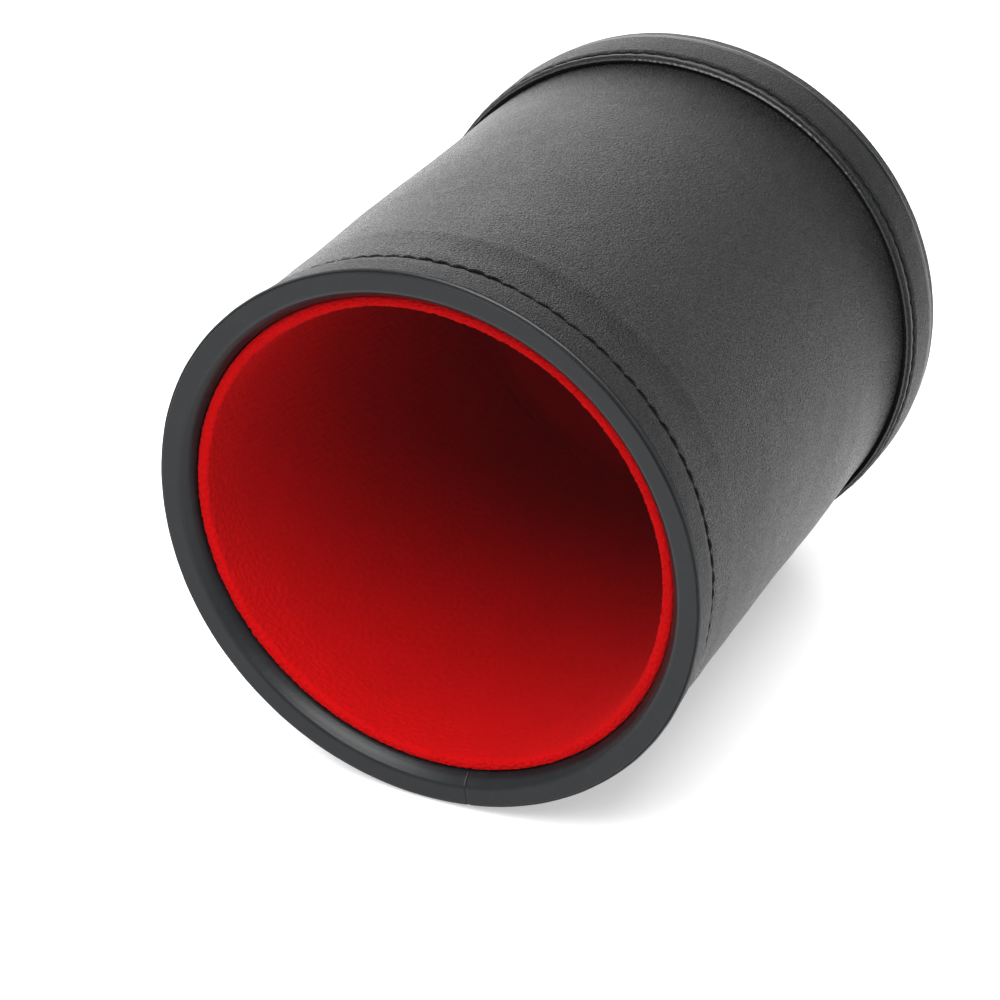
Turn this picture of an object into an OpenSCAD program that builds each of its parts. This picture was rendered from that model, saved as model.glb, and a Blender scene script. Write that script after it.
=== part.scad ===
// Leather dice cup: a rigid tube, covered in leather outside and lined with felt inside.
// The origin is at the centre of the base's underside, and +Z points out of the mouth. Millimetres.

/* [Cup] */
// Height from the underside of the base to the face of the rim
cup_h = 93; // [80:1:120]
// Diameter over the rim's raised outer edge
rim_d = 80; // [76:1:96]
// How far the rim's raised edge stands out from the body leather
rim_step = 0.8; // [0.7:0.1:1.6]
// How far the base band stands out from the body leather
base_step = 1.6; // [1.4:0.1:2.4]

/* [Wall layers] */
// Thickness of the body leather
body_leather_t = 1.1; // [0.9:0.1:1.4]
// Wall thickness of the rigid core tube
core_t = 1.6; // [1.2:0.1:2.4]
// Thickness of the rim leather where it is turned down inside the tube
turn_t = 1; // [0.8:0.1:1.4]
// Thickness of the card that carries the wall felt
card_t = 0.6; // [0.4:0.1:1.2]
// Thickness of the felt
felt_t = 1; // [0.8:0.1:1.6]
// Glue line between two neighbouring layers
glue_gap = 0.05; // [0.02:0.01:0.08]

/* [Rim] */
// Height of the rim's outer band, from its stitched seam to the face
rim_band_h = 6.3; // [5:0.1:10]
// Depth of the leather turned down inside the tube, from the face
inner_turn_h = 15; // [8:1:24]
// Depth of the felt's rolled lip below the rim's face
lip_depth = 2.4; // [2:0.1:5]

/* [Base] */
// Height of the base band
base_band_h = 12; // [8:0.1:20]
// How far the band's stitched hem stays inside its widest part
hem_inset = 0.4; // [0.3:0.1:0.8]
// Radius of the base band's lower corner
base_corner_r = 1.6; // [1.4:0.1:2.6]
// Width of the band's leather turned under the base, measured in from the tube's inside
base_turn_w = 0.5; // [0.2:0.1:6]
// Thickness of the leather under the base
base_leather_t = 1.2; // [1:0.1:2]
// Thickness of the rigid board that closes the tube
board_t = 2.5; // [1.5:0.5:4]
// Thickness of the card under the floor felt
floor_card_t = 0.8; // [0.6:0.2:1.6]
// Thickness of the floor felt
floor_felt_t = 1.2; // [1:0.1:2]

/* [Stitching] */
// Distance between two stitches along a seam
stitch_pitch = 2.4; // [2:0.1:4]
// Length of thread that shows in one stitch
stitch_len = 1.8; // [1.2:0.1:1.9]
// Diameter of the thread
thread_d = 0.6; // [0.4:0.1:0.7]

/* [Joints in the wrapped sheets] */
// Width of the hairline where the two ends of a wrapped sheet meet
butt_gap = 0.15; // [0.1:0.05:0.4]
// Direction of the leather's butt joint about Z
leather_joint_angle = 100; // [0:1:359]
// Direction of the lining's butt joint about Z
lining_joint_angle = 232; // [0:1:359]

/* [Hidden] */

$fn = 180;
leather_colour = "#3b3b3d";
thread_colour = "#161616";
felt_colour = "#c40a0e";
card_colour = "#b39a74";
core_colour = "#6e6e70";

// Radii of the layers, from the outside in
rim_r = rim_d / 2;
body_r = rim_r - rim_step;
body_in_r = body_r - body_leather_t;
core_out_r = body_in_r - glue_gap;
core_in_r = core_out_r - core_t;
turn_out_r = core_in_r - glue_gap;
turn_in_r = turn_out_r - turn_t;
card_out_r = turn_in_r - glue_gap;
card_in_r = card_out_r - card_t;
felt_out_r = card_in_r - glue_gap;
bore_r = felt_out_r - felt_t;

// Heights of the layers, from the underside up
board_z = base_leather_t + glue_gap;
floor_card_z = board_z + board_t + glue_gap;
floor_felt_z = floor_card_z + floor_card_t + glue_gap;
rim_top_t = 1.4;
core_top_z = cup_h - rim_top_t - glue_gap;
lip_z = cup_h - lip_depth;

// Rim seam: the thread lies in a groove between the binding and the body leather
groove_w = thread_d + 0.2;
rim_seam_z = cup_h - rim_band_h;
allowance_t = 0.3;
allowance_r = body_in_r + allowance_t;
allowance_top_z = cup_h - 2.5;
rim_thread_r = allowance_r + glue_gap + thread_d / 2;

// Base seam: the thread lies in a groove below the band's upper edge
base_r = body_r + base_step;
band_in_r = body_r + glue_gap;
base_turn_r = core_in_r - base_turn_w;
base_seam_z = base_band_h - 2.4;
hem_r = base_r - hem_inset;
groove_floor_r = hem_r - 0.6;
base_thread_r = groove_floor_r + glue_gap + thread_d / 2;

// Points of an elliptic arc about [x, y], from angle a to angle b
function arc(x, y, rx, ry, a, b, n = 8) =
    [for (i = [0:n]) [x + rx * cos(a + (b - a) * i / n), y + ry * sin(a + (b - a) * i / n)]];

// Hairline cut where the two ends of a wrapped sheet meet
module butt_joint(angle) {
    rotate(angle)
        translate([rim_r / 2, -butt_gap / 2, -1])
            cube([rim_r, butt_gap, cup_h + 2]);
}

// One sheet wrapped round the cup, turned from its outline
module wrapped(outline, angle) {
    difference() {
        rotate_extrude() polygon(outline);
        butt_joint(angle);
    }
}

// A flat disc
module disc(radius, z, thickness) {
    translate([0, 0, z]) cylinder(r = radius, h = thickness);
}

// A row of stitches that follows a seam round the cup
module stitch_ring(radius, z) {
    count = round(2 * PI * radius / stitch_pitch);
    for (i = [0:count - 1])
        rotate((i + 0.5) * 360 / count)
            translate([radius, 0, z])
                rotate([90, 0, 0])
                    cylinder(d = thread_d, h = stitch_len, center = true, $fn = 24);
}

// Rigid tube that gives the cup its shape
module core_tube() {
    color(core_colour)
        rotate_extrude()
            translate([core_in_r, board_z])
                square([core_t, core_top_z - board_z]);
}

// Rigid board that closes the lower end of the tube
module core_board() {
    color(core_colour) disc(core_in_r - glue_gap, board_z, board_t);
}

// Leather wrapped round the tube; its thinned top edge runs up behind the rim binding
module body_leather() {
    edge_r = 0.3;
    top_z = rim_seam_z - groove_w / 2;
    outline = concat(
        [[body_in_r, board_z], [body_r, board_z]],
        arc(body_r - edge_r, top_z - edge_r, edge_r, edge_r, 0, 90, 6),
        [[allowance_r, top_z], [allowance_r, allowance_top_z], [body_in_r, allowance_top_z]]
    );
    color(leather_colour) wrapped(outline, leather_joint_angle);
}

// Leather strip folded over the mouth: outer band, raised edge, flat face and inner turn
module rim_binding() {
    fold_r = 0.35;
    fold_z = rim_seam_z + groove_w / 2;
    seam_r = body_r + 0.2;
    ridge_r = 0.12;
    ridge_z = cup_h - 0.52;
    inner_corner = [1.5, 1.8];
    back_r = core_out_r + glue_gap;
    back_step_z = allowance_top_z + glue_gap;
    back_top_z = core_top_z + glue_gap;
    outline = concat(
        [[allowance_r + glue_gap, fold_z]],
        arc(seam_r - fold_r, fold_z + fold_r, fold_r, fold_r, -90, 0, 6),
        [[rim_r - 0.4, fold_z + 1.6], [rim_r - 0.36, cup_h - 1.15]],
        arc(rim_r - ridge_r, ridge_z, ridge_r, ridge_r, -40, 90, 8),
        [[rim_r - 0.38, cup_h - 0.36], [rim_r - 0.5, cup_h]],
        arc(turn_in_r + inner_corner[0], cup_h - inner_corner[1],
            inner_corner[0], inner_corner[1], 90, 180, 10),
        [
            [turn_in_r, cup_h - inner_turn_h], [turn_out_r, cup_h - inner_turn_h],
            [turn_out_r, back_top_z], [back_r, back_top_z],
            [back_r, back_step_z], [allowance_r + glue_gap, back_step_z]
        ]
    );
    color(leather_colour) wrapped(outline, leather_joint_angle);
}

// Thread in the seam below the rim
module rim_stitching() {
    color(thread_colour) stitch_ring(rim_thread_r, rim_seam_z);
}

// Leather strip round the base: cut upper edge, ribbed hem, stitched groove, slight flare, rounded
// corner, turned under
module base_band() {
    edge_r = 0.2;
    half_w = groove_w / 2;
    outline = concat(
        [[band_in_r, base_band_h - 0.25], [hem_r - 0.55, base_band_h]],
        arc(hem_r - 0.35 - edge_r, base_band_h - 0.35, edge_r, edge_r, 60, -20, 4),
        [[hem_r - 0.45, base_band_h - 0.9]],
        arc(hem_r - edge_r, base_band_h - 1.5, edge_r, edge_r, 40, -60, 6),
        [
            [groove_floor_r, base_seam_z + half_w], [groove_floor_r, base_seam_z - half_w],
            [hem_r + 0.1, base_seam_z - half_w], [hem_r + 0.25, base_seam_z - half_w - 0.3]
        ],
        arc(base_r - base_corner_r, base_corner_r, base_corner_r, base_corner_r, 0, -90, 10),
        [[base_turn_r, 0], [base_turn_r, base_leather_t], [band_in_r, base_leather_t]]
    );
    color(leather_colour) wrapped(outline, leather_joint_angle);
}

// Thread in the groove of the base band
module base_stitching() {
    color(thread_colour) stitch_ring(base_thread_r, base_seam_z);
}

// Leather disc under the base, flush with the turned edge of the band
module base_leather() {
    color(leather_colour) disc(base_turn_r - glue_gap, 0, base_leather_t);
}

// Card sleeve that carries the wall felt
module lining_card() {
    rolled_lip_h = (card_out_r - bore_r) / 2 + 0.4;
    top_z = lip_z - rolled_lip_h;
    outline = [
        [card_in_r, floor_felt_z], [card_out_r, floor_felt_z],
        [card_out_r, top_z - glue_gap], [card_in_r, top_z - glue_gap]
    ];
    color(card_colour) wrapped(outline, lining_joint_angle);
}

// Felt on the inside of the card, rolled over its top edge
module wall_felt() {
    lip_r = (card_out_r - bore_r) / 2;
    lip_under_z = lip_z - lip_r - 0.4;
    outline = concat(
        [[bore_r, floor_felt_z], [felt_out_r, floor_felt_z], [felt_out_r, lip_under_z],
         [card_out_r, lip_under_z]],
        arc(bore_r + lip_r, lip_z - lip_r, lip_r, lip_r, 0, 180, 16)
    );
    color(felt_colour) wrapped(outline, lining_joint_angle);
}

// Card disc under the floor felt
module floor_card() {
    color(card_colour) disc(core_in_r - glue_gap, floor_card_z, floor_card_t);
}

// Felt disc on the floor of the cup
module floor_felt() {
    color(felt_colour) disc(bore_r - glue_gap, floor_felt_z, floor_felt_t);
}

core_tube();
core_board();
body_leather();
rim_binding();
rim_stitching();
base_band();
base_stitching();
base_leather();
lining_card();
wall_felt();
floor_card();
floor_felt();
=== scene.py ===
import math

import bpy
import numpy as np
from mathutils import Matrix, Vector

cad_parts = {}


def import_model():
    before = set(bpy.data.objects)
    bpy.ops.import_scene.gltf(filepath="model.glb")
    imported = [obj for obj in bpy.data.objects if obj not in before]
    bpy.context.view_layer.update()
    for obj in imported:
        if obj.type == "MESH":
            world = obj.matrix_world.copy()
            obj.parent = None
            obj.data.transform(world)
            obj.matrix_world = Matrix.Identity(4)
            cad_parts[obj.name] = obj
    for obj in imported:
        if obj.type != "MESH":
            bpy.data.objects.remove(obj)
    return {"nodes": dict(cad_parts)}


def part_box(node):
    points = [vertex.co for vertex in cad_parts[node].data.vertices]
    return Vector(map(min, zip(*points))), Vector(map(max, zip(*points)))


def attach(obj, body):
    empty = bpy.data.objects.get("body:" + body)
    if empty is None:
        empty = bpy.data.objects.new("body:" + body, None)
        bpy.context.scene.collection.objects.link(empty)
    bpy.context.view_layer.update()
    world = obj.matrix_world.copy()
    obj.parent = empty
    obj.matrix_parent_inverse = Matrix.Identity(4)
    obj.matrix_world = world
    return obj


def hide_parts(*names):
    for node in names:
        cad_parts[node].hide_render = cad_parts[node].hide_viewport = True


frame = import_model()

# Leather dice cup with a felt lining. Outlines are in millimetres, as (radius, height) pairs.
MM = 0.001
TURN = 2 * math.pi
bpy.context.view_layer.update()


# ---------------------------------------------------------------- sizes, read from the frame
def node_span(node):
    """Outer radius, lowest height and highest height of a CAD node, in millimetres."""
    low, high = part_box(node)
    return high.x / MM, low.z / MM, high.z / MM


RIM_R, _, CUP_TOP = node_span("rim_binding")
BODY_R, BODY_LOW, ALLOWANCE_TOP = node_span("body_leather")
CORE_R, _, CORE_TOP = node_span("core_tube")
CARD_R, _, CARD_TOP = node_span("lining_card")
_, _, FELT_TOP = node_span("wall_felt")
BORE_R, FLOOR_LOW, FLOOR_TOP = node_span("floor_felt")
BASE_R, _, BAND_TOP = node_span("base_band")
DISC_R, _, DISC_TOP = node_span("base_leather")
RIM_SEAM_Z = sum(node_span("rim_stitching")[1:]) / 2
BASE_SEAM_Z = sum(node_span("base_stitching")[1:]) / 2
RIM_STITCHES = 101
BASE_STITCHES = 105
LEATHER_JOINT = math.radians(100)
LINING_JOINT = math.radians(232)


# ---------------------------------------------------------------- smooth noise on the cup
class Ripple:
    """Smooth seeded noise over (angle, height): waves with a whole number of periods per turn."""

    def __init__(self, seed, length, radius=40, waves=28, stretch=1.0):
        rng = np.random.default_rng(seed)
        direction = rng.uniform(0, math.pi, waves)
        size = TURN / (length * rng.uniform(0.65, 1.6, waves))
        self.round = np.rint(size * np.cos(direction) * radius / stretch)
        self.up = size * np.sin(direction)
        self.phase = rng.uniform(0, TURN, waves)

    def __call__(self, angle, height):
        total = 0
        for around, up, phase in zip(self.round, self.up, self.phase):
            total = total + np.cos(around * angle + up * height + phase)
        return total / math.sqrt(len(self.phase) / 2)


class StitchRow:
    """Where the stitches of a seam lie, with a small seeded unevenness for each one."""

    def __init__(self, count, seed):
        self.count = count
        self.uneven = np.random.default_rng(seed).uniform(-1, 1, (4, count))

    def locate(self, angle):
        """Stitch number and the place along it, from 0 at one hole to 1 at the next."""
        place = np.mod(angle / TURN, 1) * self.count
        index = np.floor(place).astype(int) % self.count
        return index, place - np.floor(place)

    def value(self, row, angle):
        """A seeded value that runs smoothly from one hole to the next."""
        index, along = self.locate(angle)
        values = self.uneven[row]
        blend = along * along * (3 - 2 * along)
        return values[index] * (1 - blend) + values[(index + 1) % self.count] * blend

    def swell(self, angle):
        """0 at each needle hole and 1 half way between two."""
        return np.abs(np.sin(math.pi * self.locate(angle)[1]))


def near(value, centre, width):
    """1 at the centre, falling smoothly to 0 about two widths away."""
    return np.exp(-((value - centre) / width) ** 2)


# ---------------------------------------------------------------- mesh building
def outline(points, closed=True):
    """Rounds the corners of an outline and spaces points along it.

    A point is (radius, height, rounding, spacing, finish): the spacing and the finish's slot
    number hold for the stretch that leaves the point.
    """
    count = len(points)
    corners = [Vector(p[:2]) for p in points]
    out = []
    for i, (_, _, rounding, spacing, finish) in enumerate(points):
        here = corners[i]
        before = here - corners[i - 1] if closed or i else Vector((0, 0))
        after = corners[(i + 1) % count] - here if closed or i < count - 1 else Vector((0, 0))
        reach = min(rounding, 0.49 * before.length, 0.49 * after.length)
        if reach > 0:
            start, end = here - before.normalized() * reach, here + after.normalized() * reach
            steps = 8
            for k in range(steps + 1):
                t = k / steps
                out.append((*(start * (1 - t) ** 2 + here * 2 * t * (1 - t) + end * t * t), finish))
        else:
            out.append((*here, finish))
        if not closed and i == count - 1:
            break
        following = points[(i + 1) % count]
        next_reach = min(following[2], 0.49 * after.length) if following[2] else 0
        span = after.length - reach - next_reach
        pieces = max(1, round(span / spacing))
        direction = after.normalized()
        for k in range(1, pieces):
            point = here + direction * (reach + span * k / pieces)
            out.append((*point, finish))
    return np.array(out)


def mesh_object(name, verts, faces, slots, materials, replaced):
    """Makes a smooth piece from points in millimetres and gives it its CAD node's place."""
    mesh = bpy.data.meshes.new(name)
    mesh.from_pydata((np.asarray(verts) * MM).tolist(), [], faces)
    for material in materials:
        mesh.materials.append(material)
    mesh.polygons.foreach_set("material_index", slots)
    mesh.polygons.foreach_set("use_smooth", [True] * len(faces))
    mesh.validate()
    mesh.update()
    piece = bpy.data.objects.new(name, mesh)
    bpy.context.scene.collection.objects.link(piece)
    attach(piece, "root")
    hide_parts(replaced)
    return piece


def wrapped_sheet(name, section, around, joint, shape, materials, replaced):
    """A sheet wrapped round the cup from a closed section, with its two ends meeting at a joint."""
    half_gap = 0.02 / BODY_R
    angles = np.linspace(joint + half_gap, joint + TURN - half_gap, around + 1)[:, None]
    radius, height = shape(angles, section[:, 0][None, :], section[:, 1][None, :])
    radius, height = np.broadcast_arrays(radius, height)
    points = np.stack([radius * np.cos(angles), radius * np.sin(angles), height], -1)
    rows, columns = radius.shape
    faces, slots = [], []
    for i in range(rows - 1):
        for j in range(columns):
            k = (j + 1) % columns
            faces.append((i * columns + j, i * columns + k, (i + 1) * columns + k,
                          (i + 1) * columns + j))
            slots.append(int(section[j, 2]))
    faces.append(tuple(reversed(range(columns))))
    faces.append(tuple((rows - 1) * columns + j for j in range(columns)))
    slots += [0, 0]
    return mesh_object(name, points.reshape(-1, 3), faces, slots, materials, replaced)


def turned_disc(name, section, around, shape, materials, replaced):
    """A disc turned from an open section whose two ends lie on the axis."""
    angles = np.arange(around)[:, None] * TURN / around
    ring = section[1:-1]
    radius, height = shape(angles, ring[:, 0][None, :], ring[:, 1][None, :])
    radius, height = np.broadcast_arrays(radius, height)
    points = np.stack([radius * np.cos(angles), radius * np.sin(angles), height], -1)
    columns = len(ring)
    first, last = around * columns, around * columns + 1
    verts = np.vstack([points.reshape(-1, 3), (0, 0, height[:, 0].mean()),
                       (0, 0, height[:, -1].mean())])
    faces, slots = [], []
    for i in range(around):
        here, there = i * columns, (i + 1) % around * columns
        faces.append((first, here, there))
        faces.append((last, there + columns - 1, here + columns - 1))
        slots += [int(ring[0, 2]), int(ring[-1, 2])]
        for j in range(columns - 1):
            faces.append((here + j, here + j + 1, there + j + 1, there + j))
            slots.append(int(ring[j, 2]))
    return mesh_object(name, verts, faces, slots, materials, replaced)


def stitches(name, row, path, thickness, material, replaced):
    """A row of separate twisted threads; path(angle, along) gives each one's radius and height."""
    sides, steps, strands, twist = 15, 12, 3, 5.0
    around = np.arange(sides) * TURN / sides
    along = np.linspace(0.06, 0.94, steps + 1)
    verts, faces = [], []
    for i in range(row.count):
        angle = (i + along) * TURN / row.count
        radius, height = path(angle, along)
        centre = np.stack([radius * np.cos(angle), radius * np.sin(angle), height], -1)
        tangent = np.gradient(centre, axis=0)
        tangent /= np.linalg.norm(tangent, axis=1)[:, None]
        outward = np.stack([np.cos(angle), np.sin(angle), 0 * angle], -1)
        sideways = np.cross(tangent, outward)
        sideways /= np.linalg.norm(sideways, axis=1)[:, None]
        lift = np.cross(sideways, tangent)
        taper = np.sqrt(np.clip(1 - (2 * along - 1) ** 8, 0.12, 1))
        base = len(verts)
        for k in range(steps + 1):
            lobes = 1 + 0.13 * np.cos(strands * (around - twist * along[k]))
            size = thickness / 2 * taper[k] * lobes
            verts += list(centre[k] + size[:, None] * (
                np.cos(around)[:, None] * sideways[k] + np.sin(around)[:, None] * lift[k]))
        for k in range(steps):
            for s in range(sides):
                a, b = base + k * sides + s, base + k * sides + (s + 1) % sides
                faces.append((a, b, b + sides, a + sides))
        faces.append(tuple(base + s for s in reversed(range(sides))))
        faces.append(tuple(base + steps * sides + s for s in range(sides)))
    return mesh_object(name, verts, faces, [0] * len(faces), [material], replaced)


# ---------------------------------------------------------------- materials
class Surface:
    """A node material round one Principled shader; each call adds a node and returns its output."""

    def __init__(self, name):
        self.material = bpy.data.materials.new(name)
        self.material.use_nodes = True
        self.tree = self.material.node_tree
        self.shader = self.tree.nodes["Principled BSDF"]
        self.place = self.add("ShaderNodeTexCoord").outputs["Object"]

    def add(self, kind, inputs=None, **settings):
        node = self.tree.nodes.new(kind)
        for key, value in settings.items():
            setattr(node, key, value)
        for key, value in (inputs or {}).items():
            self.link(value, node.inputs[key])
        return node

    def link(self, value, socket):
        if isinstance(value, bpy.types.NodeSocket):
            self.tree.links.new(value, socket)
        else:
            socket.default_value = value

    def math(self, operation, first, second=0.0, third=0.0):
        inputs = {0: first, 1: second, 2: third}
        return self.add("ShaderNodeMath", inputs, operation=operation).outputs[0]

    def noise(self, size_mm, detail=2.0, rough=0.5, place=None):
        inputs = {"Vector": place or self.place, "Scale": 1 / (size_mm * MM), "Detail": detail,
                  "Roughness": rough}
        return self.add("ShaderNodeTexNoise", inputs).outputs[0]

    def cells(self, size_mm, feature, place=None):
        inputs = {"Vector": place or self.place, "Scale": 1 / (size_mm * MM)}
        return self.add("ShaderNodeTexVoronoi", inputs, feature=feature).outputs["Distance"]

    def spread(self, value, low, high, new_low=0.0, new_high=1.0):
        inputs = {"Value": value, "From Min": low, "From Max": high, "To Min": new_low,
                  "To Max": new_high}
        return self.add("ShaderNodeMapRange", inputs).outputs[0]

    def mix(self, factor, first, second):
        node = self.add("ShaderNodeMix", data_type="RGBA")
        self.link(factor, node.inputs[0])
        self.link((*first, 1) if isinstance(first, tuple) else first, node.inputs[6])
        self.link((*second, 1) if isinstance(second, tuple) else second, node.inputs[7])
        return node.outputs[2]

    def warp(self, size_mm, reach_mm):
        """The place, pushed about by noise, so that cells lose their even look."""
        wander = self.add("ShaderNodeTexNoise", {"Vector": self.place, "Scale": 1 / (size_mm * MM)})
        centred = self.add("ShaderNodeVectorMath", {0: wander.outputs[1], 1: (0.5, 0.5, 0.5)},
                           operation="SUBTRACT").outputs[0]
        scaled = self.add("ShaderNodeVectorMath", {0: centred, "Scale": reach_mm * MM},
                          operation="SCALE").outputs[0]
        return self.add("ShaderNodeVectorMath", {0: self.place, 1: scaled}).outputs[0]

    def finish(self, colour, roughness, height, depth_mm, **extra):
        bump = self.add("ShaderNodeBump", {"Height": height, "Distance": depth_mm * MM})
        self.link(bump.outputs[0], self.shader.inputs["Normal"])
        self.link(colour, self.shader.inputs["Base Color"])
        self.link(roughness, self.shader.inputs["Roughness"])
        for key, value in extra.items():
            self.link(value, self.shader.inputs[key.replace("_", " ")])
        return self.material


def grained_leather(name, depth_mm, shine, rough):
    """Leather with small even pebbles and fine creases between them; the creases are painted darker
    and less glossy, as shade.
    """
    s = Surface(name)
    place = s.warp(0.7, 0.18)
    crease = s.spread(s.cells(0.36, "DISTANCE_TO_EDGE", place), 0.0, 0.16)
    pebble = s.math("SUBTRACT", 1.0, s.cells(0.36, "F1", place))
    pores = s.noise(0.24, 1.0)
    height = s.math("MULTIPLY_ADD", pebble, 0.55, s.math("MULTIPLY", crease, 0.25))
    height = s.math("MULTIPLY_ADD", pores, 1.3, height)
    patches = s.noise(9.0, 4.0, 0.6)
    colour = s.mix(s.spread(patches, 0.3, 0.7), (0.011, 0.011, 0.0112), (0.016, 0.016, 0.0164))
    # painted shade: the colour darkens towards near-black in the creases
    colour = s.mix(s.spread(crease, 0, 1, 0.4, 0), colour, (0.004, 0.004, 0.004))
    roughness = s.math("ADD", s.spread(patches, 0.3, 0.7, rough, rough + 0.06),
                       s.spread(pores, 0.3, 0.7, 0.0, 0.12))
    # painted shade: the gloss drops in the creases; the pores vary it at random
    gloss = s.spread(crease, 0, 1, 0.55 * shine, shine)
    gloss = s.math("MULTIPLY", gloss, s.spread(pores, 0.3, 0.7, 0.65, 1.35))
    return s.finish(colour, roughness, height, depth_mm, Specular_IOR_Level=gloss)


def smooth_leather(name, shine, rough):
    """The same sheet pressed smooth, with faint pores and scuffs."""
    s = Surface(name)
    pores = s.noise(0.16, 3.0, 0.6)
    cells = s.cells(0.42, "DISTANCE_TO_EDGE", s.warp(1.4, 0.3))
    height = s.math("MULTIPLY_ADD", s.spread(cells, 0.0, 0.12), 0.25, s.math("MULTIPLY", pores, 0.6))
    patches = s.noise(7.0, 4.0, 0.65)
    scuffs = s.spread(s.noise(1.1, 5.0, 0.7), 0.56, 0.72)
    colour = s.mix(s.spread(patches, 0.3, 0.7), (0.0035, 0.0044, 0.0052), (0.0055, 0.0066, 0.0076))
    colour = s.mix(s.math("MULTIPLY", scuffs, 0.25), colour, (0.02, 0.021, 0.022))
    roughness = s.math("ADD", s.spread(patches, 0.3, 0.7, rough, rough + 0.06),
                       s.math("MULTIPLY", scuffs, 0.1))
    return s.finish(colour, roughness, height, 0.022, Specular_IOR_Level=shine)


def raw_edge_and_painted_shade():
    """Cut edges and the insides of the seams: inked black, fibrous and dull; in the seam grooves,
    notches and recesses this near-black also stands in as painted shade.
    """
    s = Surface("raw_edge_and_painted_shade")
    fibres = s.noise(0.22, 4.0, 0.7)
    colour = s.mix(s.spread(fibres, 0.4, 0.75), (0.003, 0.003, 0.003), (0.016, 0.016, 0.016))
    return s.finish(colour, 0.85, fibres, 0.12, Specular_IOR_Level=0.12)


def red_felt(name, red):
    """Short-pile felt: matted fibres with a soft red sheen, and a faint bluish-white glow painted over
    it as a haze of light.
    """
    s = Surface(name)
    place = s.warp(0.8, 0.5)
    fibres = s.noise(0.12, 4.0, 0.75, place)
    tufts = s.noise(0.6, 3.0, 0.6)
    patches = s.noise(6.0, 3.0, 0.5)
    colour = s.mix(s.spread(fibres, 0.3, 0.7), (0.27 * red, 0.0006, 0.0010),
                   (0.42 * red, 0.0013, 0.0019))
    colour = s.mix(s.spread(patches, 0.35, 0.65, 0.0, 0.18), colour, (0.25 * red, 0.0006, 0.001))
    height = s.math("MULTIPLY_ADD", tufts, 0.6, fibres)
    # painted light: the faint emission lays a bluish-white haze over the felt, so its shaded depths
    # are not pure red
    return s.finish(colour, 0.95, height, 0.09, Specular_IOR_Level=0.03, Sheen_Weight=0.12,
                    Sheen_Roughness=0.5, Sheen_Tint=(1.0, 0.05, 0.05, 1.0),
                    Emission_Color=(0.75, 0.9, 1.0, 1.0), Emission_Strength=0.0028)


def black_thread():
    """Waxed thread with fine fibres along its strands."""
    s = Surface("black_thread")
    fibres = s.noise(0.07, 3.0, 0.6)
    colour = s.mix(s.spread(fibres, 0.35, 0.7), (0.002, 0.002, 0.002), (0.008, 0.008, 0.008))
    return s.finish(colour, s.spread(fibres, 0.3, 0.7, 0.5, 0.7), fibres, 0.03,
                    Specular_IOR_Level=0.2)


def brown_card():
    """Pressed card with flecks."""
    s = Surface("lining_board")
    flecks = s.noise(0.5, 5.0, 0.7)
    colour = s.mix(s.spread(flecks, 0.35, 0.65), (0.34, 0.24, 0.13), (0.55, 0.42, 0.26))
    return s.finish(colour, 0.85, flecks, 0.03)


def core_plastic():
    """Plain extruded plastic with faint draw lines."""
    s = Surface("core_plastic")
    lines = s.noise(0.9, 3.0, 0.6)
    colour = s.mix(lines, (0.16, 0.16, 0.17), (0.24, 0.24, 0.25))
    return s.finish(colour, s.spread(lines, 0.3, 0.7, 0.4, 0.55), lines, 0.02)


BODY_LEATHER = grained_leather("body_grained_leather", 0.32, 0.2, 0.18)
BAND_LEATHER = grained_leather("band_grained_leather", 0.17, 0.16, 0.3)
TRIM_LEATHER = smooth_leather("smooth_leather", 0.24, 0.3)
WORN_LEATHER = smooth_leather("worn_leather_edge", 0.42, 0.34)
RAW_EDGE_AND_SHADE = raw_edge_and_painted_shade()
FELT = red_felt("red_felt", 1.0)
# The floor disc's felt is the wall felt made darker: painted shade, so that the floor reads no
# brighter than the wall beside it.
SHADED_FLOOR_FELT = red_felt("red_floor_felt_painted_shade", 0.76)
THREAD = black_thread()
CARD = brown_card()
CORE = core_plastic()

# ---------------------------------------------------------------- the leather outside
RIM_ROW = StitchRow(RIM_STITCHES, 11)
BASE_ROW = StitchRow(BASE_STITCHES, 23)
ALLOWANCE_R = BODY_R - 0.8
GLUE_GAP = 0.05
SHEET_IN_R = CORE_R + GLUE_GAP
THREAD_D = 0.42


def joint_dip(angle, joint, depth, width):
    """The ends of a wrapped sheet roll inwards where they meet."""
    away = np.abs(np.mod(angle - joint + math.pi, TURN) - math.pi) * BODY_R
    return -depth * np.exp(-(away / width) ** 2)


def rim_seam_line(angle):
    """Height of the rim seam's dark line and half of its width; each stitch lies on a slant."""
    along = RIM_ROW.locate(angle)[1]
    slant = 0.3 * (along - 0.5) * RIM_ROW.swell(angle) ** 0.4
    wander = 0.12 * RIM_ROW.value(0, angle)
    opening = 0.18 + 0.42 * RIM_ROW.swell(angle) ** 0.8 * (1 + 0.35 * RIM_ROW.value(1, angle))
    return RIM_SEAM_Z + slant + wander, opening


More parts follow.
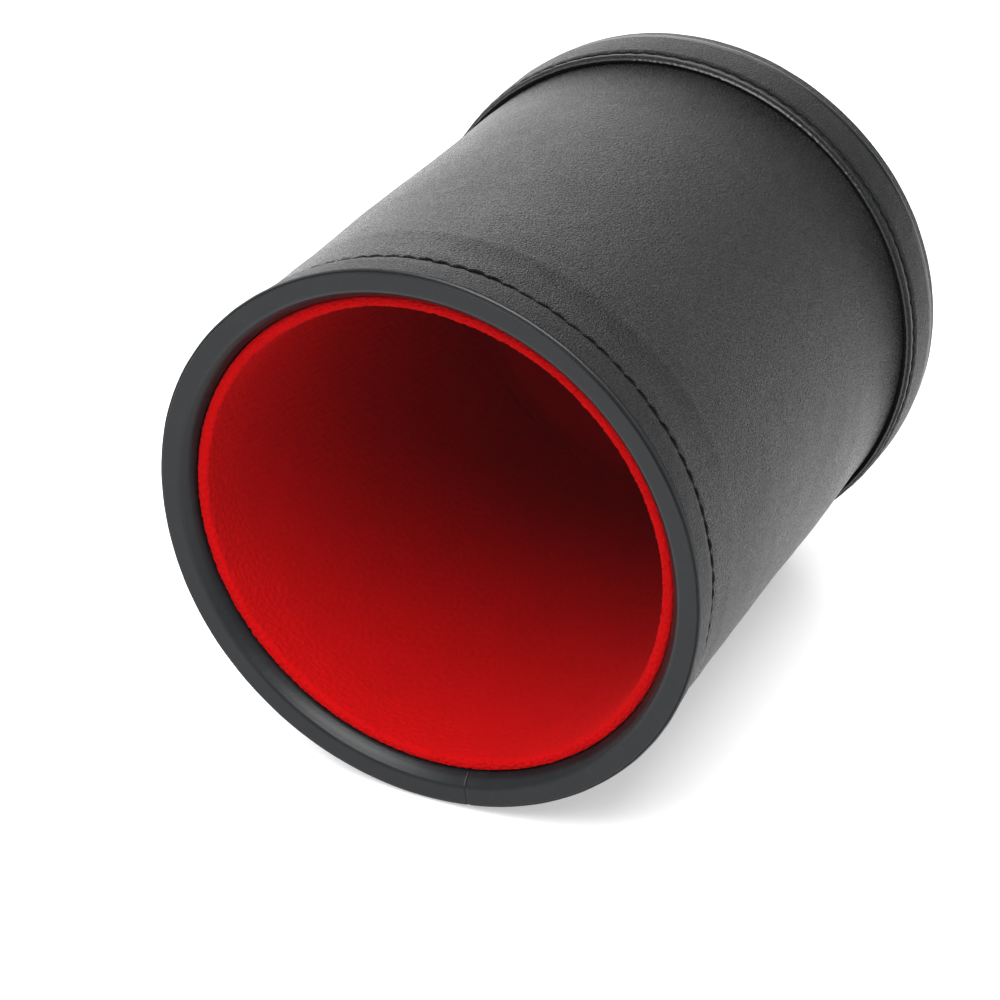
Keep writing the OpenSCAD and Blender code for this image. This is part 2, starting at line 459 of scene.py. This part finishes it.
def body_leather():
    """Grained sheet with soft waves, pulled in towards the rim seam by its stitches."""
    waves = Ripple(3, 30, stretch=1.6)
    fine = Ripple(5, 7)
    crumple = Ripple(7, 3.2, stretch=2.2)
    edge = RIM_SEAM_Z - 0.1
    # Slot 1, the near-black raw edge, lines the sheet's cut edge where it turns into the rim seam; in
    # the seam it is also painted shade.
    section = outline([
        (SHEET_IN_R, BODY_LOW, 0, 0.6, 0), (BODY_R, BODY_LOW, 0.15, 1.0, 0),
        (BODY_R, BAND_TOP - 1, 0, 0.45, 0), (BODY_R, edge - 3.0, 0, 0.2, 0),
        (BODY_R, edge - 0.2, 0.4, 0.1, 0), (BODY_R - 0.18, edge, 0.1, 0.12, 1),
        (ALLOWANCE_R, edge - 0.15, 0.1, 0.2, 1), (ALLOWANCE_R, ALLOWANCE_TOP, 0, 0.3, 1),
        (SHEET_IN_R, ALLOWANCE_TOP, 0, 6, 0),
    ])

    def shape(angle, radius, height):
        line, opening = rim_seam_line(angle)
        outside = np.clip((radius - ALLOWANCE_R) / (BODY_R - ALLOWANCE_R), 0, 1)
        open_z = np.clip((height - BAND_TOP) / 4, 0, 1)
        below = np.clip(edge - height, 0, None)
        pucker = 0.10 * (RIM_ROW.swell(angle) - 0.6) * np.exp(-below / 1.1)
        wrinkle = 0.13 * near(height, RIM_SEAM_Z - 7.8 + 0.8 * waves(angle, 0), 1.5)
        wrinkle = wrinkle * (0.45 + 0.55 * waves(angle, height * 0.3))
        surface = 0.075 * waves(angle, height) + 0.014 * fine(angle, height) + wrinkle
        surface = surface + 0.035 * crumple(angle, height) * np.exp(-below / 2.5)
        dip = joint_dip(angle, LEATHER_JOINT, 0.1, 0.25)
        radius = radius + outside * (open_z * surface + pucker + dip)
        near_edge = np.exp(-below / 0.8) * (height <= edge + 0.01)
        height = height + near_edge * (line - opening - edge)
        return radius, height

    return wrapped_sheet("body_leather_sheet", section, 1212, LEATHER_JOINT, shape,
                         [BODY_LEATHER, RAW_EDGE_AND_SHADE], "body_leather")


def rim_binding():
    """Smooth strip folded over the mouth: outer band, crisp edge, flat face, rounded inner turn."""
    undulation = Ripple(13, 26, stretch=1.5)
    fine = Ripple(17, 5)
    crumple = Ripple(19, 2.6, stretch=1.6)
    fold = RIM_SEAM_Z + 0.1
    inner_r = CARD_R + 0.06
    turn_low = CORE_TOP - 12
    section = outline([
        # Slot 1 is the near-black raw edge: at the seam it is the inked cut edge; in the narrow notch
        # between the crest and the flat face, and on the stretch just below the crest, it is painted
        # shade.
        (ALLOWANCE_R + GLUE_GAP, fold + 0.1, 0.1, 0.15, 1), (BODY_R + 0.02, fold - 0.02, 0.1, 0.1, 2),
        (BODY_R + 0.2, fold + 0.15, 0.25, 0.2, 2), (RIM_R - 0.4, fold + 1.5, 0.8, 0.2, 2),
        (RIM_R - 0.36, CUP_TOP - 2.4, 0.8, 0.15, 2), (RIM_R - 0.36, CUP_TOP - 1.1, 0.2, 0.06, 1),
        (RIM_R - 0.04, CUP_TOP - 0.58, 0.05, 0.05, 3),
        (RIM_R - 0.19, CUP_TOP - 0.34, 0.05, 0.05, 0),
        (RIM_R - 0.36, CUP_TOP - 0.34, 0.04, 0.05, 1), (RIM_R - 0.44, CUP_TOP - 0.32, 0.04, 0.05, 0),
        (RIM_R - 0.52, CUP_TOP - 0.04, 0.08, 0.2, 0),
        (RIM_R - 2.9, CUP_TOP - 0.22, 0.3, 0.1, 0),
        (RIM_R - 3.25, CUP_TOP - 0.4, 0.12, 0.1, 0), (RIM_R - 4.0, CUP_TOP - 1.2, 0.5, 0.2, 0),
        (inner_r, CUP_TOP - 2.4, 0.5, 0.4, 0), (inner_r, turn_low, 0, 0.5, 0),
        (inner_r + 0.9, turn_low, 0, 4, 0), (inner_r + 0.9, CORE_TOP + 0.1, 0.2, 0.6, 0),
        (CORE_R + 0.06, CORE_TOP + 0.1, 0, 0.8, 0), (CORE_R + 0.06, ALLOWANCE_TOP + 0.1, 0, 0.3, 0),
        (ALLOWANCE_R + GLUE_GAP, ALLOWANCE_TOP + 0.1, 0, 1.0, 0),
    ])

    def shape(angle, radius, height):
        line, opening = rim_seam_line(angle)
        outside = np.clip((radius - ALLOWANCE_R - GLUE_GAP) / 0.6, 0, 1)
        above = np.clip(height - fold, 0, None)
        pucker = 0.08 * (RIM_ROW.swell(angle) - 0.6) * np.exp(-above / 0.9)
        lift = 0.05 * undulation(angle, height) + 0.01 * fine(angle, height)
        lift = lift + 0.03 * crumple(angle, height) * np.exp(-above / 2.0)
        dip = joint_dip(angle, LEATHER_JOINT, 0.08, 0.25)
        radius = radius + outside * (pucker + lift * np.clip(above / 1.5, 0.3, 1) + dip)
        near_edge = np.exp(-above / 0.8) * (radius > ALLOWANCE_R)
        height = height + near_edge * (line + opening - fold)
        face = np.clip((height - CUP_TOP + 2.0) / 1.5, 0, 1)
        height = height + face * (0.035 * undulation(angle + 1, 0) - 0.035 + 0.5 * dip)
        return radius, height

    return wrapped_sheet("rim_binding_strip", section, 1212, LEATHER_JOINT, shape,
                         [TRIM_LEATHER, RAW_EDGE_AND_SHADE, BAND_LEATHER, WORN_LEATHER], "rim_binding")


def base_band():
    """Strip round the base: fibrous raw edge, rolled hem, stitched groove, soft lower corner."""
    undulation = Ripple(29, 24, stretch=1.5)
    fine = Ripple(31, 5)
    fibres = Ripple(37, 0.9, waves=60)
    in_r = BODY_R + 0.06
    turn_r = DISC_R + GLUE_GAP
    hem_r = BASE_R - 0.4
    section = outline([
        # Slot 1 is the near-black raw edge: it is the inked cut edge of the hem, and in the crevice
        # against the body and in the stitched groove it is also painted shade.
        (in_r, BAND_TOP - 0.9, 0.1, 0.12, 1), (hem_r - 0.55, BAND_TOP - 0.5, 0.05, 0.05, 3),
        (hem_r - 0.26, BAND_TOP - 0.78, 0.08, 0.05, 1), (hem_r - 0.3, BAND_TOP - 0.94, 0.06, 0.05, 2),
        (hem_r - 0.42, BAND_TOP - 1.12, 0.06, 0.06, 2), (hem_r, BAND_TOP - 1.42, 0.14, 0.05, 3),
        (hem_r - 0.05, BASE_SEAM_Z + 0.46, 0.1, 0.08, 1),
        (hem_r - 0.58, BASE_SEAM_Z + 0.3, 0.1, 0.1, 1),
        (hem_r - 0.58, BASE_SEAM_Z - 0.25, 0.1, 0.08, 1), (hem_r, BASE_SEAM_Z - 0.38, 0.08, 0.08, 2),
        (hem_r + 0.2, BASE_SEAM_Z - 0.7, 0.3, 0.2, 2), (BASE_R - 0.06, 6.0, 0.8, 0.3, 2),
        (BASE_R - 0.02, 3.3, 0.3, 0.1, 3), (BASE_R, 2.8, 0.3, 0.08, 3),
        (BASE_R - 0.15, 2.1, 0.3, 0.1, 2), (BASE_R - 0.28, 0.55, 0.3, 0.15, 2),
        (BASE_R - 0.8, 0.02, 0.3, 0.2, 2),
        (turn_r + 0.4, 0.02, 0.3, 0.2, 2), (turn_r, 0.35, 0.1, 0.3, 0),
        (turn_r, DISC_TOP, 0, 0.6, 0), (in_r, DISC_TOP, 0, 1.5, 0),
    ])

    def shape(angle, radius, height):
        outside = np.clip((radius - in_r) / 1.0, 0, 1)
        swell = BASE_ROW.swell(angle)
        hole = (1 - swell) ** 3
        at_seam = near(height, BASE_SEAM_Z, 0.22)
        beside = near(height, BASE_SEAM_Z + 0.6, 0.35) + near(height, BASE_SEAM_Z - 0.6, 0.45)
        inside = np.clip((hem_r + 0.1 - radius) / 0.15, 0, 1) * near(height, BASE_SEAM_Z, 0.45)
        pucker = 0.07 * (swell - 0.6) * beside * (1 + 0.5 * BASE_ROW.value(0, angle))
        lift = (0.045 * undulation(angle, height) + 0.01 * fine(angle, height)) * outside
        raw = near(height, BAND_TOP - 0.6, 0.28)
        lift = lift + 0.02 * raw * fibres(angle, height)
        dip = joint_dip(angle, LEATHER_JOINT, 0.08, 0.25) * outside
        radius = radius + pucker * outside - 0.22 * hole * at_seam * outside + lift + dip
        wander = 0.12 * BASE_ROW.value(1, angle) * near(height, BASE_SEAM_Z, 0.9)
        side = np.sign(height - BASE_SEAM_Z)
        wander = wander + 0.2 * side * (swell - 0.75) * inside
        height = height + wander + 0.03 * raw * fibres(angle + 2, radius)
        return radius, np.maximum(height, 0.0)

    return wrapped_sheet("base_band_strip", section, 1272, LEATHER_JOINT, shape,
                         [TRIM_LEATHER, RAW_EDGE_AND_SHADE, BAND_LEATHER, WORN_LEATHER], "base_band")


def rim_thread():
    """Thread that follows the rim seam's dark line, each stitch arching out of its holes."""
    def path(angle, along):
        line, _ = rim_seam_line(angle)
        arch = np.sin(math.pi * along) ** 0.6
        return BODY_R - 0.66 + 0.3 * arch, line

    return stitches("rim_stitches", RIM_ROW, path, THREAD_D, THREAD, "rim_stitching")


def base_thread():
    """Thread in the base band's groove, each stitch on a slight slant."""
    def path(angle, along):
        arch = np.sin(math.pi * along) ** 0.6
        height = BASE_SEAM_Z + 0.12 * BASE_ROW.value(1, angle) + 0.16 * (along - 0.5)
        return BASE_R - 0.98 + 0.3 * arch, height

    return stitches("base_stitches", BASE_ROW, path, THREAD_D, THREAD, "base_stitching")


def base_leather():
    """Disc under the base, with softly rounded cut edges."""
    waves = Ripple(41, 22)
    section = outline([
        (0, 0, 0, 1.2, 0), (DISC_R, 0, 0.3, 0.3, 0), (DISC_R, DISC_TOP, 0.15, 2.0, 0),
        (0, DISC_TOP, 0, 2.0, 0),
    ], closed=False)

    def shape(angle, radius, height):
        under = height < DISC_TOP / 2
        rise = 0.05 * np.clip(waves(angle, radius) + 1.0, 0, 2) * np.clip(radius / 20, 0, 1)
        return radius, height + np.where(under, rise * np.clip((DISC_R - radius) / 6, 0, 1), 0)

    return turned_disc("base_leather_disc", section, 240, shape, [BODY_LEATHER], "base_leather")


# ---------------------------------------------------------------- the felt lining
def wall_felt():
    """Felt on the card sleeve, rolled over its top edge into a soft lip."""
    nap = Ripple(43, 1.1, waves=60)
    tufts = Ripple(47, 0.55, waves=70)
    waves = Ripple(53, 24)
    lip_low = CARD_TOP + 0.06
    section = outline([
        (BORE_R, FLOOR_LOW, 0, 1.2, 0), (BORE_R, FELT_TOP - 8, 0, 0.4, 0),
        (BORE_R, FELT_TOP - 2, 0, 0.14, 0), (BORE_R + 0.05, FELT_TOP, 0.8, 0.14, 0),
        (CARD_R - 0.02, FELT_TOP, 0.7, 0.14, 0), (CARD_R - 0.02, lip_low, 0.1, 0.3, 0),
        (BORE_R + 1.0, lip_low, 0, 6, 0), (BORE_R + 1.0, FLOOR_LOW, 0, 0.5, 0),
    ][::-1])

    def shape(angle, radius, height):
        inside = np.clip((BORE_R + 1.0 - radius) / 0.9, 0, 1)
        lip = np.clip((height - FELT_TOP + 1.6) / 1.0, 0, 1)
        fuzz = 0.035 * nap(angle, height) + 0.03 * tufts(angle, height + 3 * radius)
        radius = radius - inside * (0.06 * waves(angle, height) + fuzz)
        height = height + lip * (0.05 * nap(angle + 1, radius * 3) + 0.04 * tufts(angle, radius * 5))
        radius = radius - inside * joint_dip(angle, LINING_JOINT, 0.06, 0.3)
        return radius, height

    return wrapped_sheet("wall_felt_sheet", section, 1080, LINING_JOINT, shape, [FELT],
                         "wall_felt")


def floor_felt():
    """Felt disc pressed into the floor, with a soft edge."""
    nap = Ripple(59, 1.6, waves=50)
    waves = Ripple(61, 18)
    section = outline([
        (0, FLOOR_TOP, 0, 0.5, 0), (BORE_R - 4, FLOOR_TOP + 0.1, 2.5, 0.4, 0),
        (BORE_R - 1.2, FLOOR_TOP + 1.2, 1.0, 0.3, 0), (BORE_R - 0.3, FLOOR_TOP + 3.6, 0.2, 0.3, 0),
        (BORE_R, FLOOR_TOP + 3.4, 0.1, 0.4, 0), (BORE_R, FLOOR_LOW, 0, 3, 0),
        (0, FLOOR_LOW, 0, 3, 0),
    ], closed=False)[::-1]

    def shape(angle, radius, height):
        above = height > (FLOOR_LOW + FLOOR_TOP) / 2
        bumps = 0.03 * nap(angle, radius) + 0.08 * waves(angle, radius) * np.clip(radius / 12, 0, 1)
        return radius, height + np.where(above, bumps, 0)

    return turned_disc("floor_felt_disc", section, 360, shape, [SHADED_FLOOR_FELT], "floor_felt")


body_leather()
rim_binding()
base_band()
rim_thread()
base_thread()
base_leather()
wall_felt()
floor_felt()

for node, material in (("core_tube", CORE), ("core_board", CORE), ("lining_card", CARD),
                       ("floor_card", CARD)):
    mesh = frame["nodes"][node].data
    mesh.materials.clear()
    mesh.materials.append(material)


# ---------------------------------------------------------------- stage, light and camera
# The cup lies on its +Y side, so the floor's up is -Y and the mouth points along +Z.
UP = Vector((0, -1, 0))
MOUTH = Vector((0, 0, 1))
SIDE = UP.cross(MOUTH)
CAMERA_TURN = math.radians(25.6)
CAMERA_SIDE = MOUTH * math.cos(CAMERA_TURN) + SIDE * math.sin(CAMERA_TURN)
CENTRE = Vector((0, 0, CUP_TOP / 2)) * MM


def stage_place(along_mouth, sideways, up):
    """A place on the stage, in metres from the cup's centre."""
    return CENTRE + MOUTH * along_mouth + SIDE * sideways + UP * up


def floor_material():
    """White glossy-board floor that is only there when seen from above."""
    s = Surface("pale_floor")
    s.link((0.70, 0.70, 0.71, 1), s.shader.inputs["Base Color"])
    s.link((1.0, 1.0, 1.0, 1), s.shader.inputs["Emission Color"])
    s.link(0.42, s.shader.inputs["Emission Strength"])
    s.link(s.spread(s.noise(60, 2.0), 0.3, 0.7, 0.28, 0.34), s.shader.inputs["Roughness"])
    clear = s.add("ShaderNodeBsdfTransparent").outputs[0]
    behind = s.add("ShaderNodeNewGeometry").outputs["Backfacing"]
    blend = s.add("ShaderNodeMixShader", {0: behind, 1: s.shader.outputs[0], 2: clear})
    s.link(blend.outputs[0], s.tree.nodes["Material Output"].inputs["Surface"])
    return s.material


def floor():
    """A flat floor that touches the rim and the base band."""
    rim_touch = Vector((0, RIM_R, CUP_TOP)) * MM
    base_touch = Vector((0, BASE_R, 0)) * MM
    along = (rim_touch - base_touch).normalized()
    across = Vector((1, 0, 0))
    middle = (rim_touch + base_touch) / 2 - UP * 0.0002
    reach = 3.0
    corners = [middle + along * a * reach + across * b * reach
               for a, b in ((-1, -1), (-1, 1), (1, 1), (1, -1))]
    mesh = bpy.data.meshes.new("stage_floor")
    mesh.from_pydata([tuple(c) for c in corners], [], [(0, 1, 2, 3)])
    mesh.update()
    if mesh.polygons[0].normal.dot(UP) < 0:
        mesh.flip_normals()
    mesh.materials.append(floor_material())
    piece = bpy.data.objects.new("stage_floor", mesh)
    bpy.context.scene.collection.objects.link(piece)


def softbox(name, place, size, power):
    """A soft rectangular light aimed at the cup."""
    data = bpy.data.lights.new(name, "AREA")
    data.shape = "RECTANGLE"
    data.size, data.size_y = size
    data.energy = power
    lamp = bpy.data.objects.new(name, data)
    lamp.location = place
    lamp.rotation_mode = "QUATERNION"
    lamp.rotation_quaternion = (CENTRE - place).to_track_quat("-Z", "Y")
    bpy.context.scene.collection.objects.link(lamp)


def world():
    """A white room: brighter behind on the left, darker behind on the right, white to the camera."""
    scene_world = bpy.data.worlds.new("studio")
    scene_world.use_nodes = True
    tree = scene_world.node_tree

    def add(kind, inputs, **settings):
        node = tree.nodes.new(kind)
        for key, value in settings.items():
            setattr(node, key, value)
        for key, value in inputs.items():
            if isinstance(value, bpy.types.NodeSocket):
                tree.links.new(value, node.inputs[key])
            else:
                node.inputs[key].default_value = value
        return node

    def patch(along_mouth, sideways, up, low, level):
        """The level near one direction, falling to 0 where the cosine to it is below low."""
        place = add("ShaderNodeTexCoord", {}).outputs["Generated"]
        centre = (MOUTH * along_mouth + SIDE * sideways + UP * up).normalized()
        facing = add("ShaderNodeVectorMath", {0: place, 1: centre}, operation="DOT_PRODUCT")
        inputs = {"Value": facing.outputs["Value"], "From Min": low, "From Max": 0.97,
                  "To Min": 0.0, "To Max": level}
        return add("ShaderNodeMapRange", inputs, interpolation_type="SMOOTHSTEP").outputs[0]

    level = 1.0
    for part in (patch(-0.7, -0.7, 0.25, 0.6, 1.55), patch(-0.75, 0.6, 0.24, 0.6, -0.97)):
        level = add("ShaderNodeMath", {0: level, 1: part}, operation="ADD").outputs[0]
    seen = add("ShaderNodeLightPath", {}).outputs["Is Camera Ray"]
    level = add("ShaderNodeMath", {0: level, 1: seen}, operation="ADD").outputs[0]
    tree.links.new(level, tree.nodes["Background"].inputs["Strength"])
    tree.nodes["Background"].inputs["Color"].default_value = (1, 1, 1, 1)
    bpy.context.scene.world = scene_world


def camera():
    """The viewing angle: down towards the floor and round from the cup's axis, from the mouth side."""
    pitch = math.radians(29.55)
    distance, focal = 0.4009, 105
    aim = Vector((-2.4, 1.9, CUP_TOP - 19.9)) * MM
    back = CAMERA_SIDE * math.cos(pitch) + UP * math.sin(pitch)
    data = bpy.data.cameras.new("camera")
    data.lens, data.sensor_width = focal, 36
    data.clip_start, data.clip_end = 0.01, 50
    eye = bpy.data.objects.new("camera", data)
    right = UP.cross(back).normalized()
    rotation = Matrix((right, back.cross(right), back)).transposed()
    eye.matrix_world = Matrix.Translation(aim + back * distance) @ rotation.to_4x4()
    bpy.context.scene.collection.objects.link(eye)
    bpy.context.scene.camera = eye


floor()
world()
camera()
softbox("front_box", stage_place(0.5, 0.1, 1.0), (0.9, 0.9), 22)

bpy.context.scene.view_settings.view_transform = "Standard"
